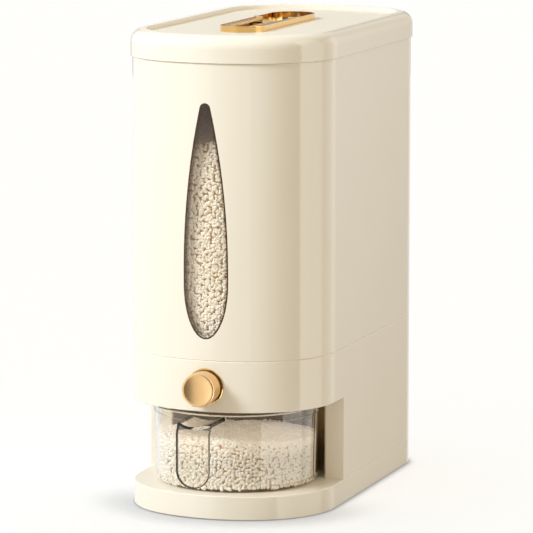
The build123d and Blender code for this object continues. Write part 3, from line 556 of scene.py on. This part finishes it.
# Painted shade: a dark line along the strap handle's edge, standing in for the dark edge that
# refraction gives.
drop = (cupLook["lineLow"] - clearPlastic.along("Z")) | 0.0
sideways = clearPlastic.along("X") - cupLook["lineMiddle"]
line = (sideways * sideways + drop * drop).root().between(*cupLook["line"])
line = line * (clearPlastic.along("Y") < cupLook["lineRoot"])
scale, first, second = cupLook["tints"]
tint = clearPlastic.blended(clearPlastic.grain(scale), first, second)
clearPlastic.feed("Base Color", clearPlastic.blended(line, tint, cupLook["lineTint"]))
clearPlastic.sheen(*cupLook["sheen"])
letLightIn(clearPlastic, cupLook["lightTint"], clearPlastic.plain())
dress(clearPlastic, "measuring_cup")
print("CAD nodes dressed")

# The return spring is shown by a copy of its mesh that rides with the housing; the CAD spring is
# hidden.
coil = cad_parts["return_spring"]
shortSpring = bpy.data.objects.new("shortSpring", coil.data.copy())
shortSpring.data.transform(coil.matrix_world)
scene.collection.objects.link(shortSpring)
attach(shortSpring, "housing")
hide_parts("return_spring")
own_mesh(shortSpring)
print("spring coiled")

# Rice: short grains, laid one by one where they show, over a bed that fills the space behind them.
riceLook = {
    "tones": (paint(248, 238, 220), paint(254, 251, 246)),
    "toneGrain": (420.0, 1.0),
    "toneNoise": (0.3, 0.52),
    "sheen": (0.42, 0.12, 1800.0),
    "glow": 0.18,                           # painted light: a glow that stands for the light that grains pass on
    "glowTop": (40 * mm, 56 * mm),          # in the cup only the top of the heap has it
    "cupGlow": (0.8, 0.72, 0.64),
    "tankGlow": (0.36, 0.34, 0.33),
    "tankFrom": 100 * mm,
    # painted shade: the bed is a darker tan than the grains, for the shaded gaps between them
    "bedTones": (300.0, paint(236, 196, 142), paint(252, 224, 180)),
    "bedBumps": (420.0, 0.6, 0.002),
}
riceGrain = Finish("riceGrain", {
    "IOR": 1.5, "Specular IOR Level": 0.3, "Emission Strength": riceLook["glow"]})
pale = riceGrain.grain(*riceLook["toneGrain"]).between(*riceLook["toneNoise"])
riceGrain.feed("Base Color", riceGrain.blended(pale, *riceLook["tones"]))
# Painted light: the grains glow a little, in the tank and at the top of the cup's heap, not low in
# the cup.
heapTop = riceGrain.along("Z").between(*riceLook["glowTop"])
inCup = riceGrain.blended(heapTop, black, riceLook["cupGlow"])
below = riceGrain.along("Z") < riceLook["tankFrom"]
riceGrain.feed("Emission Color", riceGrain.blended(below, riceLook["tankGlow"], inCup))
riceGrain.sheen(*riceLook["sheen"])

riceBed = Finish("riceBed", {"Roughness": 0.8, "Specular IOR Level": 0.2})
riceBed.mottle(*riceLook["bedTones"])
riceBed.bumps(*riceLook["bedBumps"])


def ride(obj, finish, body):
    if not obj.data.materials:
        obj.data.materials.append(finish.material)
    obj.data.shade_smooth()
    if obj.name not in scene.collection.objects:
        scene.collection.objects.link(obj)
    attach(obj, body)


grainOf = {
    "length": 4.0 * mm,
    "width": 2.9 * mm,
    "thickness": 2.4 * mm,
    "sizes": (0.88, 1.1),
    "tilt": 0.16,
    "segments": 6,
    "rings": 4,
    "step": 2.7 * mm,       # from grain to grain in a row against a wall
    "rowStep": 2.3 * mm,
    "spread": 0.8,          # share of a step by which a grain may stand off its place
    "lift": 0.9 * mm,
    "sink": 0.7,            # millimetres, away from the wall
    "heapSpread": 0.45,
    "batch": 40,
}
dice = random.Random(11)
up, right = Vector((0, 0, 1)), Vector((1, 0, 0))


def jitter(size):
    return dice.uniform(-size, size)


def grainPlace(where, outward, level):  # a grain lies flat on a surface, turned any way within it
    tilt = grainOf["tilt"]
    outward = (outward + Vector((jitter(tilt), jitter(tilt), jitter(tilt)))).normalized()
    turn = dice.uniform(0, math.pi)
    across = outward.cross(level).normalized()
    long = across * math.cos(turn) + outward.cross(across) * math.sin(turn)
    size = dice.uniform(*grainOf["sizes"])
    wide, thick = long.cross(outward) * grainOf["width"], outward * grainOf["thickness"]
    axes = (wide, thick, long * grainOf["length"])
    turned = Matrix([axis * size / 2 for axis in axes]).transposed().to_4x4()
    return Matrix.Translation(where) @ turned


bm = bmesh.new()
bmesh.ops.create_uvsphere(
    bm, u_segments=grainOf["segments"], v_segments=grainOf["rings"], radius=1.0)
oneGrain = meshOf("oneGrain", bm)


def layGrains(name, places, body):
    batches = []
    for start in range(0, len(places), grainOf["batch"]):
        bm = bmesh.new()
        for place in places[start:start + grainOf["batch"]]:
            grain = oneGrain.copy()
            grain.transform(place)
            bm.from_mesh(grain)
            bpy.data.meshes.remove(grain)
        batches.append(bpy.data.objects.new(name, meshOf(name, bm)))
        scene.collection.objects.link(batches[-1])
    whole = batches[0]
    with bpy.context.temp_override(
            active_object=whole, object=whole, selected_editable_objects=batches):
        bpy.ops.object.join()
    print(name, len(places), "grains")
    ride(whole, riceGrain, body)


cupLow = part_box("measuring_cup")[0]
cupRice = {
    "axisY": -70.15 * mm,
    "floor": cupLow.z + 3.0 * mm,
    "floorRadius": 60.3 * mm,
    "flare": 0.019,         # the wall leans out by this much for each unit of height
    "skin": 1.2 * mm,       # a grain's middle, inside the wall
    "wallTop": 75 * mm,
    "level": 54.0 * mm,
    "frontRise": 3.0 * mm,
    "hill": 4.0 * mm,
    "hillPlace": (0.25, 0.2),   # in shares of the radius, from the middle
    "hillFall": 2.2,
    "rough": (55, 2.2, 0.3),    # how fine, how high in millimetres, and where in the noise
    "layers": 2,
    "layerDrop": 1.8 * mm,
    "topJitter": 0.5 * mm,
    "topInset": 1.56 * mm,
    "bedInset": 2.4 * mm,
    "bedLift": 0.4 * mm,
    "bedDrop": 1.6 * mm,
    "bedTurns": 64,
    "bedRings": 16,
}


def cupWallAt(z):
    return cupRice["floorRadius"] + (z - cupRice["floor"]) * cupRice["flare"]


def cupHeap(x, y):
    u, v = x / cupRice["floorRadius"], (y - cupRice["axisY"]) / cupRice["floorRadius"]
    hillU, hillV = cupRice["hillPlace"]
    middle = math.exp(-cupRice["hillFall"] * ((u - hillU) ** 2 + (v - hillV) ** 2))
    fineness, height, seed = cupRice["rough"]
    rough = noise.noise(Vector((x, y, seed)) * fineness) * height * mm
    return cupRice["level"] - cupRice["frontRise"] * v + cupRice["hill"] * middle + rough


wallPlaces = []
z = cupRice["floor"] + cupRice["skin"]
while z < cupRice["wallTop"]:
    radius = cupWallAt(z) - cupRice["skin"]
    count = int(2 * math.pi * radius / grainOf["step"])
    for i in range(count):
        angle = 2 * math.pi * (i + dice.random() * grainOf["spread"]) / count
        out = Vector((math.sin(angle), -math.cos(angle), 0))
        row = Vector((0, cupRice["axisY"], z + jitter(grainOf["lift"])))
        where = row + out * (radius - dice.uniform(0, grainOf["sink"]) * mm)
        if where.z < cupHeap(where.x, where.y):
            wallPlaces.append(grainPlace(where, out, up))
    z += grainOf["rowStep"]
layGrains("cupRiceWall", wallPlaces, "cup")

topPlaces = []
heapRadius = cupWallAt(cupRice["level"]) - cupRice["topInset"]
steps = int(heapRadius / grainOf["step"]) + 1
for layer in range(cupRice["layers"]):
    for i in range(-steps, steps + 1):
        for j in range(-steps, steps + 1):
            x = (i + jitter(grainOf["heapSpread"])) * grainOf["step"]
            y = (j + jitter(grainOf["heapSpread"])) * grainOf["step"]
            if math.hypot(x, y) < heapRadius:
                y += cupRice["axisY"]
                z = cupHeap(x, y) - layer * cupRice["layerDrop"] + jitter(cupRice["topJitter"])
                topPlaces.append(grainPlace(Vector((x, y, z)), up, right))
layGrains("cupRiceTop", topPlaces, "cup")

bm = bmesh.new()
bedRadius = cupRice["floorRadius"] - cupRice["bedInset"]
profile = [  # radius, and millimetres above the cup's floor
    (0, 0), (bedRadius * 0.5, 0), (bedRadius, 0), (bedRadius, 8), (bedRadius, 16), (bedRadius, 24)]
bedFloor = cupRice["floor"] + cupRice["bedLift"]
chain = [bm.verts.new((r, 0, bedFloor + h * mm)) for r, h in profile]
for k in range(cupRice["bedRings"] + 1):
    chain.append(bm.verts.new((bedRadius * (1 - k / cupRice["bedRings"]), 0, cupRice["level"])))
edges = [bm.edges.new(pair) for pair in zip(chain, chain[1:])]
bmesh.ops.spin(
    bm, geom=chain + edges, cent=(0, 0, 0), axis=up, angle=2 * math.pi,
    steps=cupRice["bedTurns"], use_merge=True)
bmesh.ops.remove_doubles(bm, verts=bm.verts, dist=0.05 * mm)
for vert in bm.verts:
    vert.co.y += cupRice["axisY"]
    if vert.co.z > cupRice["level"] - 1 * mm:
        vert.co.z = cupHeap(vert.co.x, vert.co.y) - cupRice["bedDrop"]
bmesh.ops.recalc_face_normals(bm, faces=bm.faces)
ride(bpy.data.objects.new("cupRiceBed", meshOf("cupRiceBed", bm)), riceBed, "cup")

tankLow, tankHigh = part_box("rice_tank")
tankRice = {
    "level": 285.5 * mm,
    "lowest": 134.0 * mm,
    "slope": 0.06,          # the heap rises towards the back
    "rough": (40, 3.0, 1.7),
    "noseRadius": 105.0 * mm,
    "sideRadius": 68.0 * mm,
    "sideCentre": 12.0 * mm,
    "noseDepth": 70.0 * mm,
    "tailRadius": 117.0 * mm,
    "tailSideRadius": 48.0 * mm,
    "tailSideCentre": 32.0 * mm,
    "tailDepth": 55.87 * mm,
    "paneDepth": 7.5 * mm,
    "paneGap": 1.4 * mm,
    "windowHalf": 27.0 * mm,
    "windowOver": 6 * mm,
    "topStep": 3.1 * mm,
    "topInset": 4.8 * mm,
    "topFront": 9.4 * mm,
    "topJitter": 0.6 * mm,
    "bedInset": 10.5 * mm,
    "bedDrop": 1.4 * mm,
    "bedCells": (50, 84),
}
noseY, backY, halfWidth = tankLow.y, tankHigh.y, tankHigh.x


def insideTank(x, y, inset):  # flat sides, and at each end two side arcs with a flatter arc between
    if noseY + tankRice["noseDepth"] < y < backY - tankRice["tailDepth"]:
        return abs(x) < halfWidth - inset
    if y < 0:
        deep, kind = y - noseY, ("noseDepth", "noseRadius", "sideRadius", "sideCentre")
    else:
        deep, kind = backY - y, ("tailDepth", "tailRadius", "tailSideRadius", "tailSideCentre")
    depth, tip, side, centre = (tankRice[name] for name in kind)
    beside = math.hypot(abs(x) - centre, deep - depth) < side - inset
    return math.hypot(x, deep - tip) < tip - inset and (beside or abs(x) < centre)


def tankHeap(x, y):
    fineness, height, seed = tankRice["rough"]
    rough = noise.noise(Vector((x, y, seed)) * fineness) * height * mm
    return tankRice["level"] + (y - noseY) * tankRice["slope"] + rough


windowPlaces = []
z = tankRice["lowest"]
radius = tankRice["noseRadius"] - tankRice["paneDepth"] - tankRice["paneGap"]
count = int(2 * tankRice["windowHalf"] / grainOf["step"])
while z < tankRice["level"] + tankRice["windowOver"]:
    for i in range(count):
        place = i + dice.random() * grainOf["spread"] - count / 2
        angle = place * grainOf["step"] / radius
        out = Vector((math.sin(angle), -math.cos(angle), 0))
        r = radius - dice.uniform(0, grainOf["sink"]) * mm
        row = Vector((0, noseY + tankRice["noseRadius"], z + jitter(grainOf["lift"])))
        where = row + out * r
        if where.z < tankHeap(where.x, where.y):
            windowPlaces.append(grainPlace(where, out, up))
    z += grainOf["rowStep"]
layGrains("windowRice", windowPlaces, "housing")

surfacePlaces = []
step = tankRice["topStep"]
for i in range(int(-halfWidth / step), int(halfWidth / step) + 1):
    for j in range(int(noseY / step), int(backY / step) + 1):
        x = (i + jitter(grainOf["heapSpread"])) * step
        y = (j + jitter(grainOf["heapSpread"])) * step
        if insideTank(x, y, tankRice["topInset"]) and y > noseY + tankRice["topFront"]:
            z = tankHeap(x, y) + jitter(tankRice["topJitter"])
            surfacePlaces.append(grainPlace(Vector((x, y, z)), up, right))
layGrains("tankRiceTop", surfacePlaces, "housing")

bm = bmesh.new()
columns, rows = tankRice["bedCells"]
bmesh.ops.create_grid(bm, x_segments=columns, y_segments=rows, size=1.0)
for vert in bm.verts:
    vert.co.x *= halfWidth
    vert.co.y = noseY + (vert.co.y + 1) / 2 * (backY - noseY)
outside = [v for v in bm.verts if not insideTank(v.co.x, v.co.y, tankRice["bedInset"])]
bmesh.ops.delete(bm, geom=outside, context="VERTS")
for vert in bm.verts:
    vert.co.z = tankHeap(vert.co.x, vert.co.y) - tankRice["bedDrop"]
border = [edge for edge in bm.edges if edge.is_boundary]
skirt = bmesh.ops.extrude_edge_only(bm, edges=border)["geom"]
for vert in (v for v in skirt if isinstance(v, bmesh.types.BMVert)):
    vert.co.z = tankRice["lowest"]
bmesh.ops.contextual_create(bm, geom=[e for e in skirt if isinstance(e, bmesh.types.BMEdge)])
bmesh.ops.recalc_face_normals(bm, faces=bm.faces)
ride(bpy.data.objects.new("tankRiceBed", meshOf("tankRiceBed", bm)), riceBed, "housing")
print("rice laid")
